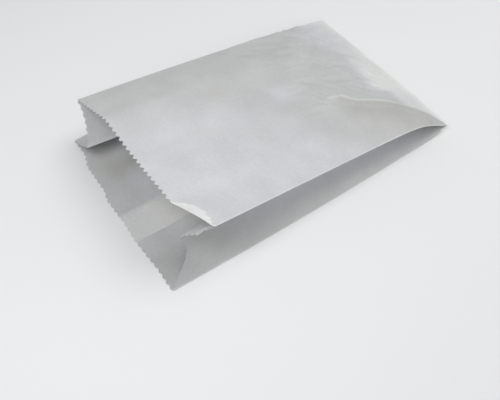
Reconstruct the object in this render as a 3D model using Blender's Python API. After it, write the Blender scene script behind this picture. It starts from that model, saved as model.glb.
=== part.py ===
"""Side gusset paper bag, empty, lying on its back panel with the mouth sprung open.

The bag is one tube of paper: a back panel on the table, a front panel above it, and
a pleat folded inwards along each side. Its closed end is folded under as a flap, the
front panel is cut shorter than the back one, and one corner of the mouth is turned in.
Metres, +Z up, +X from the mouth to the closed end, origin below the middle of the bag.
"""

import math

import bmesh
import bpy
from mathutils import Vector

# The flat bag
PANEL_WIDTH = 0.127
BAG_LENGTH = 0.2015
PLEAT_HALF = 0.0286
WALL = 0.0005
# How far each lower side edge bows out, half way along the bag
SIDE_BOW = 0.0015

# The mouth: how far back each corner of the cut lies, measured along the bag
FAR_FOLD_BACK = 0.0023
FAR_TOP_BACK = 0.0120
RIDGE_BACK = 0.0147
TURNED_BACK = 0.0161
NEAR_TOP_BACK = 0.0298
NEAR_FOLD_BACK = 0.0162
# The near pleat's fold is pulled outwards at the mouth
NEAR_TIP_PULL = 0.005
NEAR_TIP_REACH = 0.015
# The back panel's lip bows out between its corners, most at LIP_BOW_Y
LIP_BOW = 0.0033
LIP_BOW_Y = 0.012
LIP_BOW_REACH = 0.018

# The front panel's height over the table
FAR_TOP_END = 0.0031
FAR_TOP_SLOPE = 0.1508
NEAR_TOP_END = 0.0058
NEAR_TOP_SLOPE = 0.123
NEAR_PUFF = 0.0098
NEAR_PUFF_REACH = 0.016
NEAR_PUFF_POWER = 1.6
NEAR_TOP_INSET = 0.0025
NEAR_INSET_REACH = 0.015
ARCH_HEIGHT = 0.0128
ARCH_POWER = 0.7
# Places across the front panel, from its far edge (0) to its near edge (1)
RIDGE_ACROSS = 0.285
DIP_ACROSS = 0.51
TURNED_ACROSS = 0.85
RIDGE_SHARE = 0.925
DIP_SHARE = 0.72

# Folded edges and pleat tips, where two walls of paper meet
EDGE_THICKNESS = 0.0008
TIP_THICKNESS = 0.0003

# The closed end, folded under as a flap that lifts it off the table
FLAP_LENGTH = 0.0237
FLAP_WALL = 0.0008
FLAP_GAP = 0.0003
FLAP_RAMP = 0.008
FLAP_JOIN = 0.002
FLAP_BITE = 0.0003
FOLD_OUT = 0.0004
NEAR_LIFT = 0.0027
CAVITY_STOP = 0.010

# How finely the sheet is divided
STATIONS = 34
STATION_CROWDING = 1.4
BOTTOM_STEPS = 10
PLEAT_STEPS = 4
TOP_STEPS = 7
FLAP_STEPS_ALONG = 8
FLAP_STEPS_ACROSS = 10
TUCK_STEPS = 6
BISECTIONS = 30

PAPER_COLOUR = (0.74, 0.75, 0.76, 1.0)
PAPER_ROUGHNESS = 0.7

HALF_WIDTH = PANEL_WIDTH / 2
FLAP_START = BAG_LENGTH - FLAP_LENGTH
FLAP_STACK = FLAP_WALL + FLAP_GAP
MIDDLE_X = (BAG_LENGTH + FOLD_OUT - LIP_BOW) / 2


def clear_scene():
    for thing in list(bpy.data.objects):
        bpy.data.objects.remove(thing, do_unlink=True)


def smooth(share):
    share = min(max(share, 0.0), 1.0)
    return share * share * (3 - 2 * share)


def mix(first, second, share):
    return first * (1 - share) + second * share


def floor_height(x, y):
    """Underside of the back panel: flat on the table, then up over the flap, most at the near side."""
    climb = smooth((x - FLAP_START + FLAP_RAMP) / FLAP_RAMP)
    tilt = max(0.0, (x - FLAP_START) / FLAP_LENGTH)
    nearness = 0.5 - y / PANEL_WIDTH
    return FLAP_STACK * climb + NEAR_LIFT * nearness * tilt


def edge_y(x, side):
    """The side edge, which bows out a little half way along."""
    share = min(max(x / BAG_LENGTH, 0.0), 1.0)
    return side * (HALF_WIDTH + SIDE_BOW * math.sin(math.pi * share))


def far_top(x):
    return FAR_TOP_END + FAR_TOP_SLOPE * (BAG_LENGTH - x)


def near_top(x):
    back = max(BAG_LENGTH - x, 0.0)
    puff = 1 - math.exp(-((back / NEAR_PUFF_REACH) ** NEAR_PUFF_POWER))
    return NEAR_TOP_END + NEAR_PUFF * puff + NEAR_TOP_SLOPE * back


def near_top_y(x):
    back = max(BAG_LENGTH - x, 0.0)
    return -HALF_WIDTH + NEAR_TOP_INSET * (1 - math.exp(-back / NEAR_INSET_REACH))


def arch_share(across):
    """The front panel's cross section: up to a soft ridge, a shallow dip, and down to the near edge."""
    ridge = (RIDGE_ACROSS, RIDGE_SHARE)
    stops = ((0.0, 0.0), ridge, (DIP_ACROSS, DIP_SHARE), (TURNED_ACROSS, 1.0), (1.0, 0.0))
    for (low, low_share), (high, high_share) in zip(stops, stops[1:]):
        if across <= high:
            return mix(low_share, high_share, max(0.0, across - low) / (high - low))
    return 0.0


def top_height(x, y):
    across = (edge_y(x, 1) - y) / (edge_y(x, 1) - near_top_y(x))
    across = min(max(across, 0.0), 1.0)
    fade = (max(BAG_LENGTH - x, 0.0) / BAG_LENGTH) ** ARCH_POWER
    return mix(far_top(x), near_top(x), across) + ARCH_HEIGHT * fade * arch_share(across)


def pleat_fold(x, low, high, side):
    """The pleat's inner fold: one pleat width in from both edges, half way up between them."""
    rise = (high.y - low.y) / 2
    depth = math.sqrt(max(PLEAT_HALF ** 2 - rise ** 2, 0.0))
    y = (low.x + high.x) / 2 - side * depth
    if side < 0:
        y -= NEAR_TIP_PULL * math.exp(-max(x - NEAR_FOLD_BACK, 0.0) / NEAR_TIP_REACH)
    return Vector((y, floor_height(x, y) + rise))


def pleat_corners(x, side):
    """Lower edge, fold below, fold above and upper edge of the pleat on this side, as (y, z)."""
    low_y = edge_y(x, side)
    top_y = low_y if side > 0 else near_top_y(x)
    low = Vector((low_y, floor_height(x, low_y)))
    high = Vector((top_y, top_height(x, top_y)))
    fold = pleat_fold(x, low, high, side)
    half_tip = Vector((0.0, TIP_THICKNESS / 2))
    thick = Vector((0.0, EDGE_THICKNESS))
    return low + thick, fold - half_tip, fold + half_tip, high - thick


def line_points(start, end, steps):
    return [start.lerp(end, i / steps) for i in range(steps)]


def across_points(start_y, end_y, stops, height):
    """Points over a panel between two sides, with a point at each stop."""
    ys = [mix(start_y, end_y, stop) for stop in stops]
    return [Vector((y, height(y))) for y in ys]


def bottom_stops():
    return [i / BOTTOM_STEPS for i in range(BOTTOM_STEPS + 1)]


def top_stops():
    stops = [0.0]
    marks = (0.0, RIDGE_ACROSS, DIP_ACROSS, TURNED_ACROSS, 1.0)
    for low, high in zip(marks, marks[1:]):
        steps = max(2, round(TOP_STEPS * (high - low) * 2))
        stops += [mix(low, high, (i + 1) / steps) for i in range(steps)]
    return stops


def outer_section(x):
    """The outside of the paper at this x, once round from the near lower edge."""
    far = pleat_corners(x, 1)
    near = pleat_corners(x, -1)
    points = across_points(edge_y(x, -1), edge_y(x, 1), bottom_stops(), lambda y: floor_height(x, y))
    points += line_points(far[0], far[1], PLEAT_STEPS)
    points += line_points(far[1], far[2], 1)
    points += line_points(far[2], far[3], PLEAT_STEPS) + [far[3]]
    points += across_points(edge_y(x, 1), near_top_y(x), top_stops(), lambda y: top_height(x, y))
    points += line_points(near[3], near[2], PLEAT_STEPS)
    points += line_points(near[2], near[1], 1)
    points += line_points(near[1], near[0], PLEAT_STEPS) + [near[0]]
    return points


def shifted(start, end, towards):
    """A pleat wall's other side: the same line, one wall thickness towards the bag's inside."""
    along = (end - start).normalized()
    normal = Vector((along.y, -along.x))
    if normal.dot(towards) < 0:
        normal.negate()
    return start + normal * WALL, end + normal * WALL


def meeting(fold, edge, clearance):
    """The point on the line from the fold to the edge where the clearance runs out."""
    low, high = 0.0, 1.0
    if clearance(edge) > 0:
        return edge
    for _ in range(BISECTIONS):
        middle = (low + high) / 2
        if clearance(fold.lerp(edge, middle)) > 0:
            low = middle
        else:
            high = middle
    return fold.lerp(edge, low)


def inner_pleat(x, side, floor, ceiling):
    """The inside of one pleat: lower corner, fold below, fold above and upper corner."""
    edge_low, fold_low, fold_high, edge_high = pleat_corners(x, side)
    below_fold, below_edge = shifted(fold_low, edge_low, Vector((-side, -1.0)))
    above_fold, above_edge = shifted(fold_high, edge_high, Vector((-side, 1.0)))
    low = meeting(below_fold, below_edge, lambda point: point.y - floor(point.x))
    high = meeting(above_fold, above_edge, lambda point: ceiling(point.x) - point.y)
    return low, below_fold, above_fold, high


def inner_section(x):
    """The inside of the paper at this x, point for point beside the outer section."""

    def floor(y):
        return floor_height(x, y) + WALL

    def ceiling(y):
        return top_height(x, y) - WALL

    far = inner_pleat(x, 1, floor, ceiling)
    near = inner_pleat(x, -1, floor, ceiling)
    points = across_points(near[0].x, far[0].x, bottom_stops(), floor)
    points += line_points(far[0], far[1], PLEAT_STEPS)
    points += line_points(far[1], far[2], 1)
    points += line_points(far[2], far[3], PLEAT_STEPS) + [far[3]]
    points += across_points(far[3].x, near[3].x, top_stops(), ceiling)
    points += line_points(near[3], near[2], PLEAT_STEPS)
    points += line_points(near[2], near[1], 1)
    points += line_points(near[1], near[0], PLEAT_STEPS) + [near[0]]
    return points


def mouth_line():
    """How far back the cut edge lies for each point of a section, in the section's order."""

    def run(start, end, steps):
        return [mix(start, end, i / steps) for i in range(steps)]

    marks = (0.0, RIDGE_ACROSS, TURNED_ACROSS, 1.0)
    backs = (FAR_TOP_BACK, RIDGE_BACK, TURNED_BACK, NEAR_TOP_BACK)

    def top_back(across):
        for (low, high), (start, end) in zip(zip(marks, marks[1:]), zip(backs, backs[1:])):
            if across <= high:
                return mix(start, end, (across - low) / (high - low))
        return backs[-1]

    line = []
    for stop in bottom_stops():
        from_bow = (mix(-HALF_WIDTH, HALF_WIDTH, stop) - LIP_BOW_Y) / LIP_BOW_REACH
        line.append(-LIP_BOW * math.exp(-(from_bow ** 2)))
    line += run(0.0, FAR_FOLD_BACK, PLEAT_STEPS)
    line += [FAR_FOLD_BACK]
    line += run(FAR_FOLD_BACK, FAR_TOP_BACK, PLEAT_STEPS) + [FAR_TOP_BACK]
    line += [top_back(stop) for stop in top_stops()]
    line += run(NEAR_TOP_BACK, NEAR_FOLD_BACK, PLEAT_STEPS)
    line += [NEAR_FOLD_BACK]
    line += run(NEAR_FOLD_BACK, 0.0, PLEAT_STEPS) + [0.0]
    return line


def station_shares():
    """Places along the bag from the mouth (0) to the closed end (1), closer together at that end."""
    return [1 - (1 - i / STATIONS) ** STATION_CROWDING for i in range(STATIONS + 1)]


def skin(mesh, section, end_x):
    """One side of the paper, as rings of vertices from the mouth to end_x."""
    rings = []
    line = mouth_line()
    for share in station_shares():
        ring = []
        for index, back in enumerate(line):
            x = mix(back, end_x, share)
            point = section(x)[index]
            ring.append(mesh.verts.new((x - MIDDLE_X, point.x, point.y)))
        rings.append(ring)
    for first, second in zip(rings, rings[1:]):
        join_rings(mesh, first, second)
    return rings


def join_rings(mesh, first, second):
    count = len(first)
    for i in range(count):
        j = (i + 1) % count
        mesh.faces.new((first[i], first[j], second[j], second[i]))


def finish_mesh(mesh, name):
    bmesh.ops.remove_doubles(mesh, verts=mesh.verts, dist=1e-6)
    bmesh.ops.dissolve_degenerate(mesh, edges=mesh.edges, dist=1e-7)
    bmesh.ops.triangulate(mesh, faces=mesh.faces)
    bmesh.ops.recalc_face_normals(mesh, faces=mesh.faces)
    data = bpy.data.meshes.new(name)
    mesh.to_mesh(data)
    mesh.free()
    thing = bpy.data.objects.new(name, data)
    bpy.context.scene.collection.objects.link(thing)
    return thing


def make_tube():
    """The paper tube, open at the mouth and solid where its layers lie pressed together."""
    mesh = bmesh.new()
    outside = skin(mesh, outer_section, BAG_LENGTH)
    inside = skin(mesh, inner_section, BAG_LENGTH - CAVITY_STOP)
    join_rings(mesh, outside[0], inside[0])
    mesh.faces.new(outside[-1])
    mesh.faces.new(inside[-1])
    return finish_mesh(mesh, "bag")


def flap_profile(y):
    """The flap from the side, as (x, z): under the back panel and round the fold into the closed end."""

    def underside(x):
        return floor_height(min(x, BAG_LENGTH), y)

    fold_x = BAG_LENGTH + FOLD_OUT
    join_x = BAG_LENGTH - FLAP_JOIN
    xs = [mix(FLAP_START, join_x, i / FLAP_STEPS_ALONG) for i in range(FLAP_STEPS_ALONG + 1)]
    lower = [(x, max(underside(x) - FLAP_STACK, 0.0)) for x in xs + [fold_x]]
    upper = [(x, underside(x) - FLAP_GAP) for x in reversed(xs)]
    fold = [(fold_x, underside(fold_x) + FLAP_BITE), (join_x, underside(join_x) + FLAP_BITE)]
    return lower + fold + upper


def make_flap():
    mesh = bmesh.new()
    rings = []
    for i in range(FLAP_STEPS_ACROSS + 1):
        y = mix(-HALF_WIDTH, HALF_WIDTH, i / FLAP_STEPS_ACROSS)
        rings.append([mesh.verts.new((x - MIDDLE_X, y, z)) for x, z in flap_profile(y)])
    for first, second in zip(rings, rings[1:]):
        join_rings(mesh, first, second)
    mesh.faces.new(rings[0])
    mesh.faces.new(rings[-1])
    return finish_mesh(mesh, "flap_under_the_end")


def make_turned_corner():
    """The mouth's near corner, turned in under the front panel as a second layer of paper."""
    crease_start = Vector((TURNED_BACK, mix(HALF_WIDTH, near_top_y(TURNED_BACK), TURNED_ACROSS)))
    crease_end = Vector((NEAR_TOP_BACK, near_top_y(NEAR_TOP_BACK)))
    flat_corner = Vector((RIDGE_BACK, -HALF_WIDTH))
    along = (crease_end - crease_start).normalized()
    across = flat_corner - crease_start
    turned = crease_start + 2 * along * across.dot(along) - across
    overlap = Vector((along.y, -along.x)) * WALL
    if overlap.dot(turned - crease_start) < 0:
        overlap.negate()
    corners = (crease_start + overlap, crease_end + overlap, turned)
    mesh = bmesh.new()
    layers = []
    for drop in (WALL * 0.6, WALL * 2):
        rows = []
        for i in range(TUCK_STEPS + 1):
            left = corners[0].lerp(corners[2], i / TUCK_STEPS)
            right = corners[1].lerp(corners[2], i / TUCK_STEPS)
            count = TUCK_STEPS - i
            shares = [j / count for j in range(count + 1)] if count else [0.0]
            spots = [left.lerp(right, share) for share in shares]
            row = [(spot.x - MIDDLE_X, spot.y, top_height(spot.x, spot.y) - drop) for spot in spots]
            rows.append([mesh.verts.new(spot) for spot in row])
        layers.append(rows)
        for near_row, far_row in zip(rows, rows[1:]):
            for j in range(len(far_row)):
                mesh.faces.new((near_row[j], near_row[j + 1], far_row[j]))
            for j in range(len(far_row) - 1):
                mesh.faces.new((near_row[j + 1], far_row[j + 1], far_row[j]))
    outlines = []
    for rows in layers:
        outlines.append(rows[0] + [row[-1] for row in rows[1:]] + [row[0] for row in reversed(rows[1:-1])])
    join_rings(mesh, outlines[0], outlines[1])
    return finish_mesh(mesh, "turned_corner")


def paper_material():
    material = bpy.data.materials.new("white_paper")
    material.use_nodes = True
    shader = material.node_tree.nodes["Principled BSDF"]
    shader.inputs["Base Color"].default_value = PAPER_COLOUR
    shader.inputs["Roughness"].default_value = PAPER_ROUGHNESS
    shader.inputs["Metallic"].default_value = 0.0
    return material


def joined_to(body, extra):
    """Makes the extra piece part of the body, as one sheet of paper is."""
    union = body.modifiers.new(f"join_{extra.name}", "BOOLEAN")
    union.operation = "UNION"
    union.solver = "EXACT"
    union.object = extra
    extra.hide_render = True
    extra.display_type = "WIRE"


def main():
    clear_scene()
    bag = make_tube()
    joined_to(bag, make_flap())
    joined_to(bag, make_turned_corner())
    bag.data.materials.append(paper_material())
    bag.data.shade_smooth()
    bag.data.set_sharp_from_angle(angle=math.radians(30))


main()
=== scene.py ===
# %% [markdown]
# # A paper bag with pleated sides
#
# The bag is one sheet of thin white paper. A machine folds it into a tube with a pleat
# along each side, glues the overlap, cuts the mouth with a toothed knife and folds the
# closed end under. This lesson makes it in the same order: a flat sheet, ruled into
# strips, is carried to its folded place, and then gets its thickness and its finish.
#
# The frame is the measured model of the bag. It gives the box that the paper has to fill.

# %% Load the frame
import math
from collections import namedtuple

import bmesh
import bpy
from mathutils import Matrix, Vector, noise


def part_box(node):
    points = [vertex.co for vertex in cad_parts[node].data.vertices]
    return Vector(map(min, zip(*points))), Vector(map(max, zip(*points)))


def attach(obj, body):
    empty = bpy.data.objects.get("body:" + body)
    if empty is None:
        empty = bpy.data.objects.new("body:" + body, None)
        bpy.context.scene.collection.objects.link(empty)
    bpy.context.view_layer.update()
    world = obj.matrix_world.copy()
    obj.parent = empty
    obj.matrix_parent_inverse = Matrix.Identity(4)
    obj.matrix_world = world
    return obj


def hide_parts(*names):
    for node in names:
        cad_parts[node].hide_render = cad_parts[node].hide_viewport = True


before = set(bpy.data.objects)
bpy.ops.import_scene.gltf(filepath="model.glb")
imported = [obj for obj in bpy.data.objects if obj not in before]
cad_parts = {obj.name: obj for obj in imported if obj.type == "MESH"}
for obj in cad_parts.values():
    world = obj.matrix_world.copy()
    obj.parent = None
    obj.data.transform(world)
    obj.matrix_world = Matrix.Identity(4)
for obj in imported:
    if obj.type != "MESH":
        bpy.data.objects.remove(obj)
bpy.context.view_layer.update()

low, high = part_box("bag")
print("the bag's box in mm:", [round(side * 1000, 1) for side in high - low])

# %% [markdown]
# ## Sizes
#
# Everything below is in metres, so a size in millimetres is written as a number times mm.
# Places on the bag are measured from its mouth: x runs from the cut edge of the back panel
# to the closed end, y from the near side to the far side, and z up from the table. The
# frame's origin is under the middle of the bag, so the mouth's x is subtracted only once,
# when a point is put down.

# %% Driving sizes
mm = 0.001

WIDTH = 127 * mm
HALF = WIDTH / 2
PLEAT = 28.6 * mm
LIP_BOW = 3.3 * mm
FOLD_OUT = 0.4 * mm
MOUTH_X = low.x + LIP_BOW
LENGTH = high.x - FOLD_OUT - MOUTH_X
PAPER = 0.08 * mm
LAYER = 0.16 * mm
print("length in mm:", round(LENGTH / mm, 1))


def clamp(share):
    return min(max(share, 0.0), 1.0)


def smooth(share):
    share = clamp(share)
    return share * share * (3 - 2 * share)


def mix(first, second, share):
    return first * (1 - share) + second * share


def along_points(points, place):
    """The value at this place on a broken line of (place, value) points, in rising order."""
    if place <= points[0][0]:
        return points[0][1]
    for (start, first), (end, second) in zip(points, points[1:]):
        if place <= end:
            return mix(first, second, (place - start) / (end - start))
    return points[-1][1]


# %% [markdown]
# ## What the paper lies on
#
# The back panel lies on the table. At the closed end the whole tube is folded under as a
# flap of four layers, so the back panel first climbs over the flap's free edge and then
# rises towards the fold, more on the near side, where the fold has sprung open. A height
# for each place is all that this needs, so it is a function and not a mesh.

# %% The underside's height
FLAP = 23.7 * mm
FLAP_START = LENGTH - FLAP
FLAP_RAMP = 9 * mm
FLAP_STACK = 4 * LAYER + 0.1 * mm
END_FLOOR_FAR = 1.3 * mm
END_FLOOR_NEAR = 5.3 * mm
FLAP_CURVE = 1.3


def floor_height(x, y):
    """How high the back panel's underside is over the table."""
    onto_flap = smooth((x - FLAP_START + FLAP_RAMP) / FLAP_RAMP)
    up_flap = clamp((x - FLAP_START) / FLAP) ** FLAP_CURVE
    nearness = 0.5 - y / WIDTH
    end = mix(END_FLOOR_FAR, END_FLOOR_NEAR, nearness)
    return FLAP_STACK * onto_flap + (end - FLAP_STACK) * up_flap


SIDE_BOW = 1.5 * mm


def edge_y(x, side):
    """The lower side edge, on the far (1) or near (-1) side."""
    return side * (HALF + SIDE_BOW * math.sin(math.pi * clamp(x / LENGTH)))


# %% [markdown]
# ## The front panel's form
#
# The front panel stands over the back one like a low roof. Across the bag it climbs from
# the far edge to a soft ridge, sinks a little, climbs again and drops to the near edge.
# Along the bag the whole section sinks towards the closed end. Heights at a few stations
# across, joined by straight runs and then softened, keep the flat facets of real paper,
# which a smooth curve would lose.

# %% The front panel's height
FAR_TOP_END = END_FLOOR_FAR + 3 * LAYER
FAR_SLOPE = 0.1508
FAR_PUFF = 1.2 * mm
FAR_PUFF_REACH = 8 * mm
NEAR_TOP_END = END_FLOOR_NEAR + 3 * LAYER
NEAR_SLOPE = 0.123
NEAR_PUFF = 10.1 * mm
NEAR_PUFF_REACH = 16 * mm
NEAR_PUFF_POWER = 1.6
NEAR_INSET = 2.5 * mm
NEAR_INSET_REACH = 15 * mm
ARCH = 12.8 * mm
ARCH_POWER = 0.7
ARCH_SOFTNESS = 0.035
RIDGE_AT_MOUTH = 0.285
RIDGE_FURTHER_IN = 0.225
RIDGE_LENGTH = 98 * mm
DIP_ACROSS = 0.51
TURNED_ACROSS = 0.85
RIDGE_SHARE = 0.925
DIP_SHARE = 0.72


def far_top(x):
    back = max(LENGTH - x, 0.0)
    return FAR_TOP_END + FAR_SLOPE * back + FAR_PUFF * (1 - math.exp(-back / FAR_PUFF_REACH))


def near_top(x):
    back = max(LENGTH - x, 0.0)
    puff = 1 - math.exp(-((back / NEAR_PUFF_REACH) ** NEAR_PUFF_POWER))
    return NEAR_TOP_END + NEAR_PUFF * puff + NEAR_SLOPE * back


def near_top_y(x):
    back = max(LENGTH - x, 0.0)
    return -HALF + NEAR_INSET * (1 - math.exp(-back / NEAR_INSET_REACH))


def arch_share(x, across):
    """The roof's section, 0 at both edges and 1 at the top, from far (across 0) to near (1)."""
    ridge = mix(RIDGE_AT_MOUTH, RIDGE_FURTHER_IN, smooth(x / RIDGE_LENGTH))
    dip = (DIP_ACROSS, DIP_SHARE)
    section = ((0.0, 0.0), (ridge, RIDGE_SHARE), dip, (TURNED_ACROSS, 1.0), (1.0, 0.0))
    soft = min(ARCH_SOFTNESS, across, 1 - across)
    spots = (across - soft, across - soft / 2, across, across + soft / 2, across + soft)
    return sum(along_points(section, spot) for spot in spots) / len(spots)


def top_height(x, y):
    """How high the front panel is over the table, before its creases."""
    far_edge = edge_y(x, 1)
    across = clamp((far_edge - y) / (far_edge - near_top_y(x)))
    fade = (max(LENGTH - x, 0.0) / LENGTH) ** ARCH_POWER
    return mix(far_top(x), near_top(x), across) + ARCH * fade * arch_share(x, across)


print("front panel over the mouth in mm:", round(top_height(15 * mm, -40 * mm) / mm, 1))

# %% [markdown]
# ## Creases and waves
#
# Thin paper keeps every bend. Its small creases are sharp on the line and fade within a
# few millimetres, so each is a ridge with a nearly straight section, drawn between two
# points.

# %% Small creases
CREASE_POWER = 1.5
CREASE_FADE = 0.6


def crease(x, y, start, end, height, width):
    """How much a crease from start to end lifts the paper here. A negative height is a valley."""
    run_x = end[0] - start[0]
    run_y = end[1] - start[1]
    share = clamp(((x - start[0]) * run_x + (y - start[1]) * run_y) / (run_x**2 + run_y**2))
    away = math.hypot(x - start[0] - run_x * share, y - start[1] - run_y * share)
    return height * max(0.0, 1 - away / width) ** CREASE_POWER


def crease_line(x, y, points, height, width):
    """A crease through several points, in millimetres, highest where it starts."""
    lift = 0.0
    for index, (start, end) in enumerate(zip(points, points[1:])):
        here = height * (1 - CREASE_FADE * index / len(points))
        first = (start[0] * mm, start[1] * mm)
        second = (end[0] * mm, end[1] * mm)
        one = crease(x, y, first, second, here, width)
        lift = max(lift, one) if height > 0 else min(lift, one)
    return lift


# Each crease: its points, its height and its half width
MOUTH_CREASES = ((((20.6, -43.8), (24.6, -46.2)), -0.8 * mm, 2.2 * mm),)
END_CREASES = (
    (((140, 10), (137, -12.5)), -0.6 * mm, 5 * mm),
    (((174, 23.5), (184, 1), (191, -13)), 0.5 * mm, 2.5 * mm),
    (((154, 26.5), (172, -5.5)), -0.5 * mm, 3 * mm),
    (((156, -11), (162, -23)), 0.4 * mm, 2.2 * mm),
    (((161, -14), (168, -25)), -0.4 * mm, 2.2 * mm),
    (((186, 33.5), (191, 20)), 0.4 * mm, 2.5 * mm),
    (((161, -39), (154, -51)), -0.4 * mm, 5 * mm),
    (((143, -38), (140, -52)), -0.4 * mm, 6 * mm),
    (((110, 58), (123, 41)), 0.5 * mm, 5 * mm),
    (((120, 50), (150, 34)), -0.5 * mm, 6 * mm),
    (((140, 52), (176, 40)), 0.4 * mm, 5 * mm),
)
END_CREASES_FROM = 90 * mm
print("small creases:", len(MOUTH_CREASES) + len(END_CREASES))

# %% [markdown]
# One long fold starts at the near corner of the closed end, where the stack has sprung
# open, and runs inwards. On its near side the paper drops off steeply and then levels out,
# so it is a section along a broken line, and not a ridge. The signed gap to that line says
# on which side a point lies.

# %% The long fold
CORNER_FOLD = (
    (201.5, -60), (198, -52), (185, -44), (176, -37), (168, -31.5),
    (157, -26), (153, -22), (150, -17.5), (143, -16), (134, -17),
)
FOLD_SECTION = ((-4.0, 0.0), (-0.5, 0.55), (0.0, 0.45), (2.4, -1.9), (6.0, -1.8), (17.0, 0.0))
FOLD_FADE_IN = 10 * mm
FOLD_FADE_OUT = 13 * mm


def beside_fold(x, y):
    """The gap to the long fold, more than 0 on its near side, the way along it and the way left."""
    nearest = None
    run_length = 0.0
    for start, end in zip(CORNER_FOLD, CORNER_FOLD[1:]):
        first = Vector(start) * mm
        run = Vector(end) * mm - first
        away = Vector((x, y)) - first
        share = clamp(away.dot(run) / run.length_squared)
        gap = (away - run * share).length
        if nearest is None or gap < nearest[0]:
            nearest = (gap, run.cross(away), run_length + run.length * share)
        run_length += run.length
    gap, turn, place = nearest
    return math.copysign(gap, turn), place, run_length - place


def corner_fold(x, y):
    """The long fold from the near corner of the closed end drops off steeply on its near side."""
    gap, place, left = beside_fold(x, y)
    strength = smooth(place / FOLD_FADE_IN) * smooth(left / FOLD_FADE_OUT)
    return along_points(FOLD_SECTION, gap / mm) * mm * strength


# %% [markdown]
# Beyond the fold the paper is finely wrinkled. The wrinkles fan out from a centre outside
# the same corner, so a noise is read with the turn round that centre and the distance from
# it in place of x and y: short steps across the fan and long ones along it. Where that
# noise changes sign there is a crest. Between all these creases the panel is slightly wavy.
#
# Each noise takes a slice of its own as a third coordinate, so that no two are alike.
# Creases and waves fade out where the layers are pressed together, so that one layer never
# pokes through the next.

# %% Wrinkles and waves
WRINKLE_CENTRE = Vector((215 * mm, -80 * mm))
WRINKLE_RADIUS = 90 * mm
WRINKLE_PITCH = 6.5 * mm
WRINKLE_LENGTH = 17 * mm
WRINKLE_HEIGHT = 0.8 * mm
WRINKLE_SHARPNESS = 3.0
WRINKLE_SLICE = 9.0
WRINKLE_BEND = 7 * mm
WRINKLE_BEND_SIZE = 16 * mm
WRINKLE_BEND_SLICE = 21.0
WRINKLED_FROM = 104 * mm
WRINKLED_OVER = 40 * mm
WRINKLED_SIDE = -HALF / 2
WRINKLED_SIDE_OVER = HALF / 3
WAVE_HEIGHT = 0.45 * mm
WAVE_SIZE = 26 * mm
RIPPLE_HEIGHT = 0.14 * mm
RIPPLE_SIZE = 9 * mm
RIPPLE_SLICE = 2.5
LAYER_SLICE = 5.0
PRESSED_GAP = 7 * mm


def wrinkles(x, y):
    """Fine wrinkles that fan out from the near corner of the closed end."""
    away = Vector((x, y)) - WRINKLE_CENTRE
    spot = Vector((x / WRINKLE_BEND_SIZE, y / WRINKLE_BEND_SIZE, WRINKLE_BEND_SLICE))
    round_it = math.atan2(away.y, away.x) * WRINKLE_RADIUS + WRINKLE_BEND * noise.noise(spot)
    place = Vector((round_it / WRINKLE_PITCH, away.length / WRINKLE_LENGTH, WRINKLE_SLICE))
    share = smooth((x - WRINKLED_FROM) / WRINKLED_OVER)
    share *= smooth((y - WRINKLED_SIDE) / WRINKLED_SIDE_OVER)
    return WRINKLE_HEIGHT * share * (1 - WRINKLE_SHARPNESS * abs(noise.noise(place)))


def creases_at(x, y):
    if x < RIDGE_LENGTH / 2:
        return sum(crease_line(x, y, *line) for line in MOUTH_CREASES)
    if x < END_CREASES_FROM:
        return 0.0
    small = sum(crease_line(x, y, *line) for line in END_CREASES)
    return small + corner_fold(x, y) + wrinkles(x, y)


def waves(x, y, layer):
    """A gentle unevenness of the paper, another for each layer."""
    layer_slice = layer * LAYER_SLICE
    wide = noise.noise(Vector((x / WAVE_SIZE, y / WAVE_SIZE, layer_slice)))
    fine = noise.noise(Vector((x / RIPPLE_SIZE, y / RIPPLE_SIZE, layer_slice + RIPPLE_SLICE)))
    return WAVE_HEIGHT * wide + RIPPLE_HEIGHT * fine


def openness(x, y):
    """0 where the layers are pressed together, 1 where the bag stands open."""
    return clamp((top_height(x, y) - floor_height(x, y) - 3 * LAYER) / PRESSED_GAP)


print("openness 15 mm in from the mouth:", round(openness(15 * mm, 0.0), 2))
print("openness at the closed end:", round(openness(LENGTH, 0.0), 2))

# %% [markdown]
# The near corner of the mouth is turned in under the front panel. Before its crease the
# paper rolls over softly, and that roll catches the light as a bright crescent.

# %% The roll beside the turned corner
ROLL_WIDTH = 3.2 * mm
ROLL_DROP = 2.5 * mm
ROLL_BOW = 1.9 * mm
ROLL_SKEW = 0.8
CREASE_START = Vector((16.1 * mm, -42.3 * mm))
CREASE_END = Vector((29.8 * mm, -61 * mm))
crease_run = (CREASE_END - CREASE_START).normalized()


def roll_share(across):
    return clamp((across - TURNED_ACROSS) / (1 - TURNED_ACROSS))


def roll_drop(x, across, cut_x):
    """How far the roll sinks at this place, with the front panel's cut at cut_x."""
    place = roll_share(across)
    if place <= 0.0 or place >= 1.0:
        return 0.0
    belly = math.sin(math.pi * place**ROLL_SKEW)
    away = (x - cut_x) * abs(crease_run.y)
    width = ROLL_WIDTH * belly
    return ROLL_DROP * belly * max(0.0, 1 - away / width)


# %% [markdown]
# ## The pleats
#
# Each side is a strip folded inwards along its middle. In section it is a V with two walls
# of one length, so the fold lies as deep as Pythagoras says. The lower near wall is not
# flat: it sags onto the back panel and curls up to the fold, most at the mouth, which is
# why the light fades along it from bottom to top. The near fold is pulled outwards at the
# mouth and the far one sinks a little there, and the near wall's cut edge is crumpled.

# %% Pleat sections
TIP_PULL = 5 * mm
TIP_REACH = 60 * mm
NEAR_TIP_X = 16.2 * mm
FAR_TIP_SINK = ((0, 0.7), (25, 1.6), (90, 0.0))
SAG_SHARE = 0.06
SAG_AT_MOUTH = 0.24
SAG_REACH = 40 * mm
SAG_SKEW = 0.85
FAR_SAG_SHARE = 0.1


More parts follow.
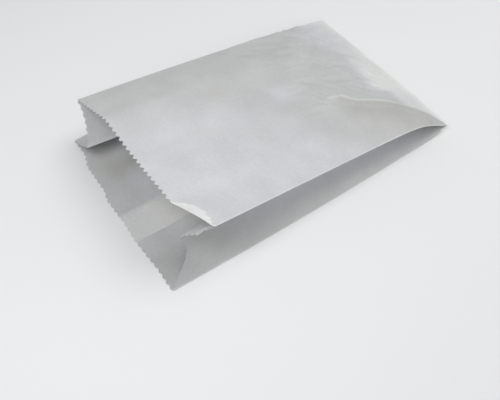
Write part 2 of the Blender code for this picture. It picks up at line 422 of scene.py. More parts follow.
def pleat_lines(x, side):
    """The lower edge, inner fold and upper edge of the far (1) or near (-1) pleat, as (y, z)."""
    low_y = edge_y(x, side)
    top_y = low_y if side > 0 else near_top_y(x)
    lower = Vector((low_y, floor_height(x, low_y) + LAYER / 2))
    upper = Vector((top_y, top_height(x, top_y) - LAYER / 2))
    rise = max(upper.y - lower.y - 2 * LAYER, 0.0) / 2
    depth = math.sqrt(PLEAT**2 - rise**2)
    y = (lower.x + upper.x) / 2 - side * depth
    sink = 0.0
    if side < 0:
        y -= TIP_PULL * math.exp(-max(x - NEAR_TIP_X, 0.0) / TIP_REACH)
    else:
        sink = along_points(FAR_TIP_SINK, x / mm) * mm
    fold = Vector((y, floor_height(x, y) + 1.5 * LAYER + rise - sink))
    return lower, fold, upper


def sagging(lower, fold, share, sag):
    """A point on the lower wall, which hangs below the straight line from its edge to its fold."""
    run = (fold - lower).normalized()
    below = Vector((abs(run.y) * math.copysign(1, run.x), -abs(run.x)))
    return lower.lerp(fold, share) + below * sag * math.sin(math.pi * share**SAG_SKEW)


def lower_wall(x, side, share):
    """The lower wall of a pleat, from its edge (0) to its fold (1)."""
    lower, fold, _ = pleat_lines(x, side)
    rise = fold.y - lower.y
    amount = SAG_SHARE + SAG_AT_MOUTH * math.exp(-max(x - NEAR_TIP_X, 0.0) / SAG_REACH)
    spot = sagging(lower, fold, share, rise * (amount if side < 0 else FAR_SAG_SHARE))
    lowest = floor_height(x, spot.x) + mix(LAYER / 2, LAYER * 1.5, share)
    lift = waves(x, spot.x, 1 if side < 0 else 2) * clamp(rise / PRESSED_GAP)
    return Vector((spot.x, max(spot.y + lift * math.sin(math.pi * share), lowest)))


CRUMPLE_REACH = 7 * mm
CRUMPLE_WAY = Vector((-0.5, -0.87))
CRUMPLE = (
    (0.0, 0.0), (0.35, 1.6), (0.5, 2.6), (0.62, 2.0),
    (0.68, -0.4), (0.76, 0.9), (0.88, 0.7), (1.0, 0.0),
)


def upper_wall(x, side, share):
    """The upper wall of a pleat, from its fold (0) to its upper edge (1)."""
    _, fold, upper = pleat_lines(x, side)
    spot = fold.lerp(upper, share)
    rise = upper.y - fold.y
    lift = waves(x, spot.x, 3 if side < 0 else 4) * clamp(rise / PRESSED_GAP)
    if side < 0:
        past_cut = max(x - mix(NEAR_TIP_X, CREASE_END.x, share), 0.0)
        crumpled = along_points(CRUMPLE, share) * mm * math.exp(-past_cut / CRUMPLE_REACH)
        spot += CRUMPLE_WAY * crumpled
    height = spot.y + lift * math.sin(math.pi * share)
    if x > END_CREASES_FROM:
        far_edge = edge_y(x, 1)
        panel = front(clamp((far_edge - spot.x) / (far_edge - near_top_y(x))), x).y
        height = min(height, panel - LAYER * clamp((1 - share) / EDGE_RAMP))
    return Vector((spot.x, height))


_, near_fold, _ = pleat_lines(NEAR_TIP_X, -1)
print("near fold at the mouth, y and z in mm:", [round(value / mm, 1) for value in near_fold])

# %% [markdown]
# ## Ruling the sheet
#
# Round the tube the sheet has seven strips: two halves of the back panel, which overlap in
# the glued seam, four pleat walls and the front panel. Each strip takes a whole number of
# the knife's teeth, and each tooth two or four columns of the mesh, so that every fold and
# every tooth falls on a column. A strip is described by its teeth's size at both edges, by
# where its paper lies at a share of its width, by where the knife cut it, and by its level
# in the pressed stack.

# %% Strips and the mouth's cut
SEAM_FAR = -5.2 * mm
SEAM_NEAR = -25.7 * mm
SEAM_STEP = 2 * mm
FAR_LOW_X = 0.2 * mm
FAR_TIP_X = 2.3 * mm
FAR_TOP_X = 10.5 * mm
FAR_CUT_BEND = 1.9
RIDGE_X = 14.4 * mm
FRONT_TOOTH = (0.4 * mm, 0.9 * mm)
PLEAT_TOOTH = (0.4 * mm, 0.4 * mm)
NEAR_TOOTH = (0.7 * mm, 0.7 * mm)
LIP_TOOTH = (0.5 * mm, 0.5 * mm)
TOOTH_RISE = 0.28
EDGE_RAMP = 1 / 40
LIP = (
    (-63.5, -0.4), (-46, -0.7), (-37, -1.6), (-22, -2.6), (-7, -2.2), (2, -2.9), (10, -3.3),
    (17, -1.5), (31, -1.9), (40, -1.9), (49, 0.9), (63.5, 0.2),
)
NEAR_LOW_CUT = (
    (0.0, -0.4), (0.34, 12.4), (0.44, 14.8), (0.56, 17.0), (0.7, 18.0), (0.88, 17.0), (1.0, 16.2),
)
LIP_LIFT = 1.1 * mm
LIP_REACH = 12 * mm
LIP_WAVE_SIZE = 11 * mm
LIP_WAVE_SLICE = (3.0, 7.0)
LIP_WAVE_LEVEL = 0.5
LIP_CORNER = 1 / 6
FRONT_WAVE_POWER = 0.5


def lip_x(y):
    return along_points(LIP, y / mm) * mm


def back_point(x, y, level):
    """The back panel: on the table, with its lip lifting off in shallow waves."""
    wave = LIP_WAVE_LEVEL + noise.noise(Vector((y / LIP_WAVE_SIZE, *LIP_WAVE_SLICE)))
    inwards = max(x - lip_x(y), 0.0)
    edge = 1 - abs(y) / HALF
    lift = LIP_LIFT * clamp(wave) * clamp(edge / LIP_CORNER) * math.exp(-inwards / LIP_REACH)
    return Vector((y, floor_height(x, y) + level * LAYER + lift))


def seam_level(y):
    """The inner layer rides on the outer one over the seam, and is down beside it."""
    return smooth((SEAM_FAR + SEAM_STEP - y) / SEAM_STEP)


def back_inner(share, x):
    y = mix(SEAM_NEAR, edge_y(x, 1), share)
    point = back_point(x, y, seam_level(y))
    return point + Vector((0.0, LAYER / 2 * smooth(1 - (1 - share) / EDGE_RAMP)))


def back_outer(share, x):
    y = mix(edge_y(x, -1), SEAM_FAR, share)
    point = back_point(x, y, 0.0)
    return point + Vector((0.0, LAYER / 2 * smooth(1 - share / EDGE_RAMP)))


def front(share, x):
    y = mix(edge_y(x, 1), near_top_y(x), share)
    lift = waves(x, y, 0) * math.sin(math.pi * share) ** FRONT_WAVE_POWER + creases_at(x, y)
    z = top_height(x, y) + lift * openness(x, y) - roll_drop(x, share, front_cut(share))
    return Vector((y, z - LAYER / 2 * smooth(1 - min(share, 1 - share) / EDGE_RAMP)))


def front_cut(share):
    place = roll_share(share)
    if place > 0:
        return mix(CREASE_START.x, CREASE_END.x, place) + ROLL_BOW * math.sin(math.pi * place)
    if share < RIDGE_AT_MOUTH:
        return mix(FAR_TOP_X, RIDGE_X, share / RIDGE_AT_MOUTH)
    return mix(RIDGE_X, CREASE_START.x, (share - RIDGE_AT_MOUTH) / (TURNED_ACROSS - RIDGE_AT_MOUTH))


def far_upper_cut(share):
    return FAR_TIP_X + (FAR_TOP_X - FAR_TIP_X) * (1 - (1 - share) ** FAR_CUT_BEND)


def far_low_cut(share):
    return mix(FAR_LOW_X, FAR_TIP_X, share)


def near_upper_cut(share):
    return mix(CREASE_END.x, NEAR_TIP_X, share)


def near_lower_cut(share):
    return along_points(NEAR_LOW_CUT, 1 - share) * mm


class Strip:
    """A strip of the sheet: how wide, how many teeth, where it lies, where it is cut."""

    def __init__(self, width, teeth, finer, tooth, place, cut, levels):
        self.width = width
        self.columns_a_tooth = 4 if finer else 2
        self.count = teeth * self.columns_a_tooth
        self.tooth = tooth
        self.place = place
        self.cut = cut
        self.levels = levels

    def tooth_at(self, step):
        """The knife's zigzag, in at a whole tooth and out at a half one."""
        first, last = self.tooth
        size = mix(first, last, smooth(step / self.count / TOOTH_RISE))
        return size * math.cos(2 * math.pi * step / self.columns_a_tooth)


# %% [markdown]
# The strips are listed in their order round the tube, from one edge of the glued seam to
# the other. A column is then one ruled line along the bag. It keeps its strip's number,
# its share of that strip's width, the run of paper round the tube up to it, and its place
# on the knife's zigzag.

# %% Columns round the tube
STRIPS = (
    Strip(HALF - SEAM_NEAR, 22, False, LIP_TOOTH, back_inner,
          lambda s: lip_x(mix(SEAM_NEAR, HALF, s)), (0.0, 0.0)),
    Strip(PLEAT, 7, False, PLEAT_TOOTH, lambda s, x: lower_wall(x, 1, s),
          far_low_cut, (0.5, 1.5)),
    Strip(PLEAT, 7, False, PLEAT_TOOTH, lambda s, x: upper_wall(x, 1, s),
          far_upper_cut, (1.5, 2.5)),
    Strip(WIDTH, 32, True, FRONT_TOOTH, front, front_cut, (3.0, 3.0)),
    Strip(PLEAT, 7, True, NEAR_TOOTH, lambda s, x: upper_wall(x, -1, 1 - s),
          near_upper_cut, (2.5, 1.5)),
    Strip(PLEAT, 7, True, PLEAT_TOOTH, lambda s, x: lower_wall(x, -1, 1 - s),
          near_lower_cut, (1.5, 0.5)),
    Strip(HALF + SEAM_FAR, 14, False, LIP_TOOTH, back_outer,
          lambda s: lip_x(mix(-HALF, SEAM_FAR, s)), (0.0, 0.0)),
)
BACK_INNER, FAR_LOWER, FAR_UPPER, FRONT, NEAR_UPPER, NEAR_LOWER, BACK_OUTER = range(len(STRIPS))
Column = namedtuple("Column", "strip share run tooth")

columns = []
paper_run = 0.0
for number, strip in enumerate(STRIPS):
    for step in range(strip.count):
        share = step / strip.count
        run = paper_run + strip.width * share
        columns.append(Column(number, share, run, strip.tooth_at(step)))
    paper_run += strip.width
columns.append(Column(BACK_OUTER, 1.0, paper_run, LIP_TOOTH[-1]))
print("columns:", len(columns), "paper round the tube in mm:", round(paper_run / mm, 1))

# %% [markdown]
# ## Rows
#
# Along the bag the rows stand closer at the mouth, where the paper is cut and crumpled,
# and at the closed end. The last rows go round the fold and back under the bag. A layer
# that lies higher in the stack goes round a wider half circle and comes out lower. The
# fold isn't quite square to the bag, so the flap comes back a little to the near side.

# %% Rows along the sheet
MOUTH_ROWS = 24
MIDDLE_ROWS = 30
END_ROWS = 90
MOUTH_SHARE = 0.15
END_SHARE = 0.52
TURN_ROWS = 6
FLAP_ROWS = 8
END_LINE = ((-63.5, 0.1), (-40, 0.9), (-15, 0.5), (10, -0.3), (40, -0.8), (63.5, -1.6))
END_SKEW = (END_LINE[0][1] - END_LINE[-1][1]) * mm / WIDTH
END_STRETCH_POWER = 4

shares = [MOUTH_SHARE * i / MOUTH_ROWS for i in range(MOUTH_ROWS)]
shares += [mix(MOUTH_SHARE, END_SHARE, i / MIDDLE_ROWS) for i in range(MIDDLE_ROWS)]
shares += [mix(END_SHARE, 1.0, i / END_ROWS) for i in range(END_ROWS + 1)]
body_rows = len(shares)
row_count = body_rows + TURN_ROWS + FLAP_ROWS
print("rows:", row_count)


def end_x(y):
    return LENGTH + along_points(END_LINE, y / mm) * mm


def stack_level(number, share):
    if number == BACK_INNER:
        return seam_level(back_inner(share, LENGTH).x)
    first, last = STRIPS[number].levels
    return mix(first, last, share)


def folded(column, row):
    """Where this crossing of the ruled sheet lies on the bag, as x from the mouth, y and z."""
    strip = STRIPS[column.strip]
    if row < body_rows:
        start = strip.cut(column.share)
        turned_in = column.strip == FRONT and column.share >= TURNED_ACROSS
        if row == 0 and not turned_in:
            start += column.tooth
        straight = mix(start, LENGTH, shares[row])
        point = strip.place(column.share, straight)
        stretch = (end_x(point.x) - LENGTH) * shares[row] ** END_STRETCH_POWER
        return Vector((straight + stretch, point.x, point.y))
    y = strip.place(column.share, LENGTH).x
    radius = (stack_level(column.strip, column.share) + 0.5) * LAYER
    if row < body_rows + TURN_ROWS:
        turn = math.pi * (row - body_rows + 1) / TURN_ROWS
        middle = floor_height(LENGTH, y) - LAYER / 2
        return Vector((end_x(y) + radius * math.sin(turn), y, middle + radius * math.cos(turn)))
    back = FLAP * (row - body_rows - TURN_ROWS + 1) / FLAP_ROWS
    x = LENGTH - back
    aside = 2 * END_SKEW * back
    return Vector((x + end_x(y) - LENGTH, y - aside, floor_height(x, y) - LAYER / 2 - radius))


# %% [markdown]
# ## The flat sheet
#
# The sheet starts as a flat grid, one column and one row for each ruled line. Only its
# vertices will move, each to its folded place, so the mesh stays an even net of quads with
# no seams. Before they move, the flat place of each corner is kept as the UV map: grain
# and mottling then follow the paper and not the air around it. Three numbers for each
# vertex wait for their values: how many layers the light meets, with painted light and
# shade mixed in, how much painted cool shade the paper gets, and how much painted highlight.

# %% Lay out the flat sheet
COLUMN_STEPS = len(columns) - 1
ROW_STEPS = row_count - 1
UV_SCALE = 10.0

sheet = bmesh.new()
bmesh.ops.create_grid(sheet, x_segments=COLUMN_STEPS, y_segments=ROW_STEPS, size=0.5)
print("grid vertices:", len(sheet.verts), "faces:", len(sheet.faces))

flat = sheet.loops.layers.uv.new("flat")
plies_and_painted_light = sheet.verts.layers.float.new("plies_and_painted_light")
shade = sheet.verts.layers.float.new("shade")
painted_highlight = sheet.verts.layers.float.new("painted_highlight")


def ruled(vertex):
    """The column and row that a vertex of the flat grid stands on."""
    return round((vertex.co.x + 0.5) * COLUMN_STEPS), round((vertex.co.y + 0.5) * ROW_STEPS)


def flat_length(row):
    if row < body_rows:
        return LENGTH * shares[row]
    return LENGTH + FLAP * (row - body_rows + 1) / (TURN_ROWS + FLAP_ROWS)


place_of = {vertex: ruled(vertex) for vertex in sheet.verts}
for face in sheet.faces:
    for loop in face.loops:
        column_number, row = place_of[loop.vert]
        loop[flat].uv = (columns[column_number].run * UV_SCALE, flat_length(row) * UV_SCALE)
print("flat sheet in mm:", round(paper_run / mm, 1), "by", round(flat_length(ROW_STEPS) / mm, 1))

# %% [markdown]
# ## How the layers show through, and painted light and shade
#
# Thin paper lets light through, so its tone tells what lies behind it. It is palest where
# several layers are pressed together, at the roll and over the flap. It is a mid grey
# where one layer stands in the light, and darkest over the shaded hollow of a pleat. The
# front panel changes from one to the other in soft zones, most of them painted light and
# shade: full by the mouth, a painted greyer strip over the far pleat, painted grey further
# back, lighter and darker spots, a painted dark side of the long fold and a paler side over
# the flap.
#
# Real see-through paint would need many light bounces and would be lost in other
# renderers, so each vertex gets a number from 0 to 1 in its place.

# %% The front panel's tone
PRESSED_GLOW = 3.0 * mm
FULL = 0.5
SEVERAL = 1.0
ZONE_EDGE = 1.2 * mm
CLOUD_SLICE = 31.0
# The strip over the far pleat, the greyer end and the near side of the long fold are painted shade.
STRIP_EDGE = 32 * mm
STRIP_TONE = 0.22
STRIP_UNTIL = 180 * mm
STRIP_FADE = 40 * mm
STRIP_SIDE_TONE = 0.3
STRIP_SIDE = 34 * mm
FULL_UNTIL = 70 * mm
FULL_SLANT = 0.7
FULL_FADE = 45 * mm
END_TONE = 0.25
FOLD_SIDE_TONE = 0.04
FOLD_SIDE = 44 * mm
OVER_FLAP = ((-60, 0.55), (-40, 0.65), (-24, 0.85), (-5, 0.9), (12, 0.7), (30, 0.5), (63, 0.4))
OVER_FLAP_FROM = (
    (-50, 188), (-41, 184), (-27, 186), (-23, 177), (-18, 173),
    (-5, 177), (16, 186), (31, 177), (39, 168), (60, 174),
)
OVER_FLAP_FADE = 14 * mm
OVER_FLAP_CLOUD = 5 * mm
# Soft spots where the front panel's tone is lighter or darker, in millimetres: x, y,
# radius and change of tone
LIGHTER_AND_DARKER_SPOTS = (
    (61, -4, 14, 0.12), (119, 1, 15, 0.26), (168, 44, 14, 0.1),
    (88, -20, 17, -0.16), (83, 21, 12, -0.14), (127, -46, 12, -0.12),
)
ROLL_EDGE = 0.2 * mm


def rolled_share(share, point):
    """1 on the roll beside the turned corner's crease, 0 on the rest of the front panel."""
    return smooth(roll_drop(point.x, share, front_cut(share)) / ROLL_EDGE)


def front_tone(share, point):
    """The front panel's tone: full by the mouth, with painted shade over the far pleat and further
    back.
    """
    # Painted shade: greyer by the far edge at the mouth and towards the closed end.
    slanted = point.x - FULL_UNTIL - FULL_SLANT * (STRIP_EDGE - point.y)
    by_the_mouth = mix(STRIP_SIDE_TONE, FULL, smooth((STRIP_EDGE - point.y) / STRIP_SIDE))
    tone = mix(by_the_mouth, END_TONE, smooth(slanted / FULL_FADE + 0.5))
    for x, y, radius, lift in LIGHTER_AND_DARKER_SPOTS:
        tone += lift * smooth(1 - math.hypot(point.x / mm - x, point.y / mm - y) / radius)
    height = point.z - floor_height(point.x, point.y) - 3 * LAYER
    pressed = math.exp(-max(height, 0.0) / PRESSED_GLOW)
    gap, _, left = beside_fold(point.x, point.y)
    # Painted shade on the near side of the long fold; the other side is paler over the flap.
    if gap > 0:
        beside = smooth(left / FOLD_SIDE) * smooth(1 - gap / FOLD_SIDE)
        tone = mix(tone, FOLD_SIDE_TONE, beside)
        pressed *= 1 - beside
    else:
        spot = Vector((point.x / WAVE_SIZE, point.y / WAVE_SIZE, CLOUD_SLICE))
        flap_from = along_points(OVER_FLAP_FROM, point.y / mm) * mm
        past_limit = point.x + OVER_FLAP_CLOUD * noise.noise(spot) - flap_from
        over_flap = smooth(past_limit / OVER_FLAP_FADE + 0.5) * smooth(-gap / ZONE_EDGE)
        tone = mix(tone, along_points(OVER_FLAP, point.y / mm), over_flap)
    # Painted shade on the strip over the far pleat.
    strip = smooth((point.y - STRIP_EDGE) / ZONE_EDGE + 0.5)
    strip *= smooth((STRIP_UNTIL - point.x) / STRIP_FADE)
    tone = mix(tone, STRIP_TONE, strip)
    # Pressed layers are palest; the roll is painted palest too, partly for the turned layer under
    # it and partly as a painted highlight.
    return mix(tone, SEVERAL, max(pressed, rolled_share(share, point)))


print("tone in the panel's middle:", round(front_tone(0.5, Vector((LENGTH / 2, 0.0, 0.02))), 2))

# %% [markdown]
# The back panel shows inside the mouth. It has painted shade, darkest by the lip, lighter
# deeper in and darker towards its near edge, with a painted shadow under the far pleat, and
# the glued seam, two layers thick, runs along it as a pale band, painted paler deeper in.
# The lower wall of the near pleat has painted shade, dark along its edge and paler towards
# its fold.

# %% The tone of every strip
BACK_TONE = 0.3
BACK_DEEP_TONE = 0.85
BACK_EDGE_FROM = -28 * mm
BACK_EDGE_FADE = 25 * mm
DEEP_FROM = 12 * mm
DEEP_FADE = 20 * mm
LIT_PATCH_TONE = 0.9
NEAR_PATCH = 45 * mm
FAR_UPPER_TONE = 0.56
SEAM_TONES = ((3, 0.75), (30, 1.0))
NEAR_EDGE_TONES = ((40, 0.05), (200, 0.2))
NEAR_FOLD_TONES = ((32, 0.1), (65, 0.6), (130, 1.0))
# The painted shadow under the far pleat, by y in millimetres
UNDER_PLEAT = ((15, 0.0), (28, 1.0), (38, 0.3))
UNDER_PLEAT_IN = 12 * mm


def back_tone(column, point):
    """The back panel's tone, with painted shade and shadow, and the seam's pale band."""
    # Painted shade: dark by the lip, lighter deeper in, darker towards the near edge, and a painted
    # shadow under the far pleat
    tone = mix(BACK_TONE, BACK_DEEP_TONE, smooth((point.x - DEEP_FROM) / DEEP_FADE))
    tone *= 1 - smooth((BACK_EDGE_FROM - point.y) / BACK_EDGE_FADE)
    tone *= 1 - along_points(UNDER_PLEAT, point.y / mm) * smooth(point.x / UNDER_PLEAT_IN)
    onto_seam = SEAM_FAR - point.y if column.strip == BACK_INNER else point.y - SEAM_NEAR
    seam = along_points(SEAM_TONES, point.x / mm)
    return mix(tone, seam, smooth(onto_seam / ZONE_EDGE + 0.5))


def paper_tone(column, row, point):
    """0 for one layer with a dark hollow behind it, 0.5 for one in the light, 1 for several, with
    painted light and shade between.
    """
    if row >= body_rows:
        return SEVERAL
    if column.strip == FRONT:
        return front_tone(column.share, point)
    if column.strip in (BACK_INNER, BACK_OUTER):
        return back_tone(column, point)
    # Painted shade on the near pleat's lower wall, darkest along its edge and at the fold by the
    # mouth.
    if column.strip == NEAR_LOWER:
        fold = along_points(NEAR_FOLD_TONES, point.x / mm)
        return mix(fold, along_points(NEAR_EDGE_TONES, point.x / mm), column.share)
    # Painted light on the near pleat's upper wall by the mouth.
    if column.strip == NEAR_UPPER:
        return mix(LIT_PATCH_TONE, FULL, smooth(point.x / NEAR_PATCH))
    # The far pleat's lower wall gets the painted shade of the strip, its upper wall a slightly
    # paler tone.
    return STRIP_TONE if column.strip == FAR_LOWER else FAR_UPPER_TONE


# %% [markdown]
# Two more numbers finish the paper. By the mouth of the near pleat the light comes from
# the side and is cooler, and that cool shade is painted in. Along its folds, round the closed
# end, on the crest of the long fold and on the roll at the mouth, a painted highlight makes
# the paper whiter.

# %% Painted cool shade and highlights on the folds
SHADE_FOLD = 20 * mm
SHADE_UNTIL = 110 * mm
SHADE_AT_EDGE = 0.9
SHADE_AT_FOLD = 0.5
FOLD_HIGHLIGHT = 0.6
FOLD_LINE = 1.6 * mm
FOLD_LINE_SIDE = 0.6 * mm
FOLD_LINE_RISE = 70 * mm
FOLD_LINE_HIGHLIGHT = 0.42


def cool_shade(column, row, point):
    """How cool the shade is by the near pleat's mouth, on the back panel and the lower wall."""
    if row >= body_rows or column.strip not in (NEAR_LOWER, BACK_OUTER):
        return 0.0
    along = smooth(1 - point.x / SHADE_UNTIL)
    if column.strip == BACK_OUTER:
        return along * smooth((BACK_EDGE_FROM - point.y) / BACK_EDGE_FADE)
    under_fold = math.exp(-max(point.x - NEAR_TIP_X, 0.0) / SHADE_FOLD)
    at_fold = SHADE_AT_FOLD + (1 - SHADE_AT_FOLD) * under_fold
    return along * mix(SHADE_AT_EDGE, at_fold, 1 - column.share)


def fold_highlight(column, row, point):
    """How much painted highlight whitens the folds, the long fold's crest and the roll at the
    mouth.
    """
    on_fold = column.share == 0.0 and column.strip != BACK_INNER
    if on_fold or body_rows - 1 <= row < body_rows + TURN_ROWS:
        return FOLD_HIGHLIGHT
    if column.strip != FRONT or row >= body_rows:
        return 0.0
    if point.x < END_CREASES_FROM:
        return rolled_share(column.share, point)
    gap, place, left = beside_fold(point.x, point.y)
    line = smooth(1 - abs(gap + FOLD_LINE_SIDE) / FOLD_LINE)
    return FOLD_LINE_HIGHLIGHT * line * smooth(place / FOLD_LINE_RISE) * smooth(left / FOLD_FADE_OUT)


# %% [markdown]
# ## Folding
#
# Now every vertex of the flat grid goes to its folded place. The sheet is the middle of
# the paper, so it is lifted by half the paper's thickness to stand on the table.

# %% Fold the sheet
for vertex, (column_number, row) in place_of.items():
    column = columns[column_number]
    point = folded(column, row)
    vertex[plies_and_painted_light] = paper_tone(column, row, point)
    vertex[shade] = cool_shade(column, row, point)
    vertex[painted_highlight] = fold_highlight(column, row, point)
    vertex.co = (point.x + MOUTH_X, point.y, point.z + PAPER / 2)
print("folded, highest point in mm:", round(max(vertex.co.z for vertex in sheet.verts) / mm, 1))

# %% [markdown]
# ## The turned-in corner
#
# At the near end of the mouth the knife's edge is folded under the front panel. The crease
# is the first row of the front strip, so the hidden layer grows out of that row: each step
# extrudes the edge, and moves the new points to the mirror place of the paper that the
# crease took away, a little below the panel.

# %% The crease and the way that the corner turns
TURN_STEPS = 8
DROP_STEPS = 2
TURNED_GAP = 0.35 * mm
TO_THE_MOUTH = Vector((-1.0, 0.0))

front_start = sum(strip.count for strip in STRIPS[:FRONT])
front_end = front_start + STRIPS[FRONT].count
first_turned = front_start + round(TURNED_ACROSS * STRIPS[FRONT].count)
vertex_at = {place: vertex for vertex, place in place_of.items()}
crease_row = [vertex_at[(number, 0)] for number in range(first_turned, front_end + 1)]
inward = 2 * crease_run * TO_THE_MOUTH.dot(crease_run) - TO_THE_MOUTH
print("the corner is turned towards", [round(value, 2) for value in inward])

# %% Turn the corner in
def grown_row(edge_row):
    """Extrudes this row of edges, and gives its new vertices in the same order."""
    edges = [sheet.edges.get(pair) for pair in zip(edge_row, edge_row[1:])]
    grown = bmesh.ops.extrude_edge_only(sheet, edges=edges)["geom"]
    new_row = [item for item in grown if isinstance(item, bmesh.types.BMVert)]
    return [min(new_row, key=lambda new: (new.co - old.co).length) for old in edge_row]


def under_panel(start, reach, drop):
    """A point of the turned layer, this far inwards of where it starts on the crease."""
    x = start.x - MOUTH_X + inward.x * reach
    y = start.y + inward.y * reach
    across = clamp((edge_y(x, 1) - y) / (edge_y(x, 1) - near_top_y(x)))
    return Vector((x + MOUTH_X, y, mix(start.z, front(across, x).y - TURNED_GAP, drop)))


lengths = [max(vertex.co.x - MOUTH_X - RIDGE_X, 0.0) for vertex in crease_row]
starts = [vertex.co.copy() for vertex in crease_row]
edge_row = crease_row
for step in range(1, TURN_STEPS + 1):
    edge_row = grown_row(edge_row)
    for vertex, start, length in zip(edge_row, starts, lengths):
        vertex.co = under_panel(start, length * step / TURN_STEPS, smooth(step / DROP_STEPS))
        vertex[plies_and_painted_light] = SEVERAL
print("turned corner's vertices:", len(crease_row) * TURN_STEPS)

# %% [markdown]
# ## From folded sheet to bag
#
# Double points are merged and the normals made to agree while the sheet is still a single
# layer. An extrude can number its new points and faces in another order each time, so all
# are numbered again by their place. Open edges and sharp folds are marked, so that smooth
# shading stops there, and Solidify then gives the paper its thickness on both sides of the
# ruled surface.

# %% Make the bag object
SHARP = math.radians(32)
SAME_POINT = 0.001 * mm


def renumber(items, place):
    """Puts vertices, edges or faces in order of place, so that each run gives the same mesh."""
    for number, item in enumerate(sorted(items, key=place)):
        item.index = number
    items.sort()


bmesh.ops.remove_doubles(sheet, verts=sheet.verts, dist=SAME_POINT)
renumber(sheet.verts, lambda vertex: tuple(vertex.co))
renumber(sheet.edges, lambda edge: sorted(vertex.index for vertex in edge.verts))
renumber(sheet.faces, lambda face: sorted(vertex.index for vertex in face.verts))
bmesh.ops.recalc_face_normals(sheet, faces=sheet.faces)
for face in sheet.faces:
    face.smooth = True
for edge in sheet.edges:
    sharp = len(edge.link_faces) == 2 and edge.calc_face_angle(0.0) > SHARP
    edge.smooth = not (edge.is_boundary or sharp)

bag_mesh = bpy.data.meshes.new("paper_bag")
sheet.to_mesh(bag_mesh)
sheet.free()
bag = bpy.data.objects.new("paper_bag", bag_mesh)
bpy.context.scene.collection.objects.link(bag)

wall = bag.modifiers.new("paper_thickness", "SOLIDIFY")
wall.thickness = PAPER
wall.offset = 0.0
print("faces in the folded sheet:", len(bag_mesh.polygons))

# %% [markdown]
# ## White paper
#
# Thin bag paper is matt and faintly cloudy. One layer in the light looks greyer and bluer,
# and several layers together look whiter and warmer. A colour ramp reads the sheet's first
# number, layers with painted light and shade, and so stays plain paint that any renderer can
# show. The painted cool shade is multiplied in, and the painted highlights on the folds are
# blended towards white. Wide clouds and short fibres, both noises in the flat sheet's UV map,
# brighten and darken the result a little, and a fine grain gives the surface its tooth.

# %% Colours of the paper
# The darkest grey is painted shade, and the paler greys also carry painted light
SHADED_PLY = (0.525, 0.522, 0.497, 1.0)
SINGLE_PLY = (0.66, 0.667, 0.683, 1.0)
SEVERAL_PLIES = (0.828, 0.83, 0.8, 1.0)
COOL_SHADE = (0.885, 0.91, 0.945, 1.0)
HIGHLIGHT_WHITE = (0.93, 0.93, 0.925, 1.0)
FOLD_SHARE = 0.6
CLOUD_SCALE = 5.0
CLOUD_CONTRAST = 0.045
FIBRE_SCALE = 55.0
FIBRE_CONTRAST = 0.034
GRAIN_SCALE = 220.0
GRAIN_HEIGHT = 0.02 * mm
GRAIN_STRENGTH = 0.5
SPOT_DETAIL = 4.0
GRAIN_DETAIL = 3.0
SPOT_RANGE = (0.3, 0.7)
PAPER_ROUGHNESS = 0.62
PAPER_SPECULAR = 0.3
print("palest and darkest paper:", SEVERAL_PLIES[:3], SHADED_PLY[:3])

# %% The finish and helpers for its nodes
paper_finish = bpy.data.materials.new("white_bag_paper")
paper_finish.use_nodes = True
nodes = paper_finish.node_tree.nodes
links = paper_finish.node_tree.links
shader = nodes["Principled BSDF"]
shader.inputs["Roughness"].default_value = PAPER_ROUGHNESS
shader.inputs["Specular IOR Level"].default_value = PAPER_SPECULAR
uv = nodes.new("ShaderNodeUVMap")
uv.uv_map = "flat"


def attribute(name):
    node = nodes.new("ShaderNodeAttribute")
    node.attribute_name = name
    return node.outputs["Fac"]


def colour_socket(sockets, name):
    """A Mix node has sockets of one name for each kind of value. This is the colour's."""
    return [item for item in sockets if item.name == name and item.type == "RGBA"][0]


def blend(first, colour, share, kind="MIX"):
    """Mixes a plain colour into a linked one, by a linked share."""
    node = nodes.new("ShaderNodeMix")
    node.data_type = "RGBA"
    node.blend_type = kind
    links.new(first, colour_socket(node.inputs, "A"))
    colour_socket(node.inputs, "B").default_value = colour
    links.new(share, node.inputs["Factor"])
    return colour_socket(node.outputs, "Result")


def scaled(value, factor):
    node = nodes.new("ShaderNodeMath")
    node.operation = "MULTIPLY"
    links.new(value, node.inputs[0])
    node.inputs[1].default_value = factor
    return node.outputs[0]


def flat_noise(scale, detail):
    """A noise in the flat sheet's own place."""
    node = nodes.new("ShaderNodeTexNoise")
    node.inputs["Scale"].default_value = scale
    node.inputs["Detail"].default_value = detail
    links.new(uv.outputs["UV"], node.inputs["Vector"])
    return node.outputs["Fac"]


def mottled(colour, scale, contrast):
    """Brightens and darkens a colour a little in soft spots."""
    spread = nodes.new("ShaderNodeMapRange")
    spread.inputs["From Min"].default_value = SPOT_RANGE[0]
    spread.inputs["From Max"].default_value = SPOT_RANGE[1]
    spread.inputs["To Min"].default_value = 1 - contrast
    spread.inputs["To Max"].default_value = 1 + contrast
    links.new(flat_noise(scale, SPOT_DETAIL), spread.inputs["Value"])
    brightened = nodes.new("ShaderNodeVectorMath")
    brightened.operation = "SCALE"
    links.new(colour, brightened.inputs[0])
    links.new(spread.outputs["Result"], brightened.inputs["Scale"])
    return brightened.outputs["Vector"]


# %% Put the paper's finish together
paper = nodes.new("ShaderNodeValToRGB")
ramp = paper.color_ramp.elements
ramp[0].color = SHADED_PLY
ramp[1].color = SEVERAL_PLIES
ramp.new(FULL).color = SINGLE_PLY
links.new(attribute("plies_and_painted_light"), paper.inputs["Fac"])
shaded = blend(paper.outputs["Color"], COOL_SHADE, attribute("shade"), "MULTIPLY")
highlighted = blend(shaded, HIGHLIGHT_WHITE, scaled(attribute("painted_highlight"), FOLD_SHARE))
clouded = mottled(highlighted, CLOUD_SCALE, CLOUD_CONTRAST)
links.new(mottled(clouded, FIBRE_SCALE, FIBRE_CONTRAST), shader.inputs["Base Color"])

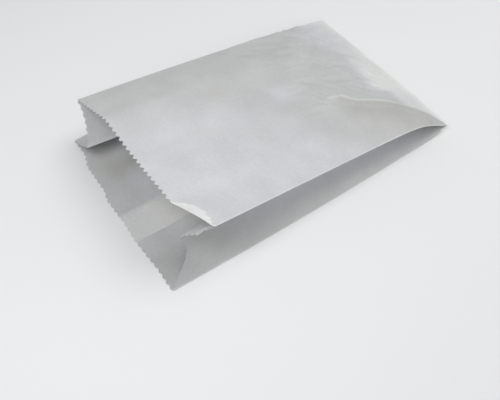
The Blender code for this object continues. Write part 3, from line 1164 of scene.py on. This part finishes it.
bump = nodes.new("ShaderNodeBump")
bump.inputs["Distance"].default_value = GRAIN_HEIGHT
bump.inputs["Strength"].default_value = GRAIN_STRENGTH
links.new(flat_noise(GRAIN_SCALE, GRAIN_DETAIL), bump.inputs["Height"])
links.new(bump.outputs["Normal"], shader.inputs["Normal"])
bag_mesh.materials.append(paper_finish)
print("nodes in the paper's finish:", len(nodes))

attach(bag, "root")
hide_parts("bag")

# %% [markdown]
# ## Floor, light and camera
#
# A pale floor and soft light show the folds without hard shadows. An even sky gives the
# softness, and two large lamps high above, one on the mouth's side and one on the closed
# end's side, make the facets differ and leave the pleats and the inside darker. A weak low
# lamp on the near side opens up the near pleat. The camera looks down on the mouth's near
# corner, where the pleat, the seam and the turned corner all show.

# %% Floor
FLOOR_SIZE = 6.0
FLOOR_WHITE = (0.93, 0.93, 0.93, 1.0)
FLOOR_ROUGHNESS = 0.9

floor_form = bmesh.new()
bmesh.ops.create_grid(floor_form, x_segments=1, y_segments=1, size=FLOOR_SIZE / 2)
floor_mesh = bpy.data.meshes.new("floor")
floor_form.to_mesh(floor_mesh)
floor_form.free()
floor = bpy.data.objects.new("floor", floor_mesh)
bpy.context.scene.collection.objects.link(floor)
floor_paint = bpy.data.materials.new("pale_floor")
floor_paint.use_nodes = True
floor_shader = floor_paint.node_tree.nodes["Principled BSDF"]
floor_shader.inputs["Base Color"].default_value = FLOOR_WHITE
floor_shader.inputs["Roughness"].default_value = FLOOR_ROUGHNESS
floor_mesh.materials.append(floor_paint)
print("floor's side in metres:", FLOOR_SIZE)

# %% Light
SKY_COLOUR = (0.97, 0.985, 1.0, 1.0)
SKY_STRENGTH = 0.45
LAMP_SIZE_SHARE = 0.55
# Each lamp: name, bearing and height in degrees, distance in metres and power in watts
LAMPS = (
    ("mouth_side_lamp", 196, 60, 0.5, 0.72),
    ("closed_end_lamp", 0, 60, 0.9, 1.85),
    ("near_side_fill", 325, 18, 0.55, 0.25),
)

world = bpy.data.worlds.new("soft_sky")
world.use_nodes = True
sky = world.node_tree.nodes["Background"]
sky.inputs["Color"].default_value = SKY_COLOUR
sky.inputs["Strength"].default_value = SKY_STRENGTH
bpy.context.scene.world = world


def add_lamp(name, bearing, height, distance, power):
    """A large round lamp that looks down on the bag from this side."""
    turn = math.radians(bearing)
    up = math.radians(height)
    place = Vector((math.cos(up) * math.cos(turn), math.cos(up) * math.sin(turn), math.sin(up)))
    data = bpy.data.lights.new(name, "AREA")
    data.shape = "DISK"
    data.size = distance * LAMP_SIZE_SHARE
    data.energy = power
    lamp = bpy.data.objects.new(name, data)
    lamp.location = place * distance
    lamp.rotation_euler = (-place).to_track_quat("-Z", "Y").to_euler()
    bpy.context.scene.collection.objects.link(lamp)
    print("lamp:", name)


for settings in LAMPS:
    add_lamp(*settings)

# %% Camera
EYE = Vector((MOUTH_X - 45.02 * mm, -206.08 * mm, 308.62 * mm))
AIM = Vector((MOUTH_X + 67.87 * mm, -37.33 * mm, 0.0))
LENS = 44.41
SENSOR = 36.0
NEAREST = 10 * mm
ROLL = math.radians(-0.28)

camera_data = bpy.data.cameras.new("camera")
camera_data.lens = LENS
camera_data.sensor_width = SENSOR
camera_data.clip_start = NEAREST
camera = bpy.data.objects.new("camera", camera_data)
camera.location = EYE
level_view = (AIM - EYE).to_track_quat("-Z", "Y").to_matrix()
camera.rotation_euler = level_view.to_euler()
camera.rotation_euler.rotate_axis("Z", ROLL)
bpy.context.scene.collection.objects.link(camera)
bpy.context.scene.camera = camera
bpy.context.scene.view_settings.view_transform = "Standard"
print("camera to the bag in mm:", round((AIM - EYE).length / mm))
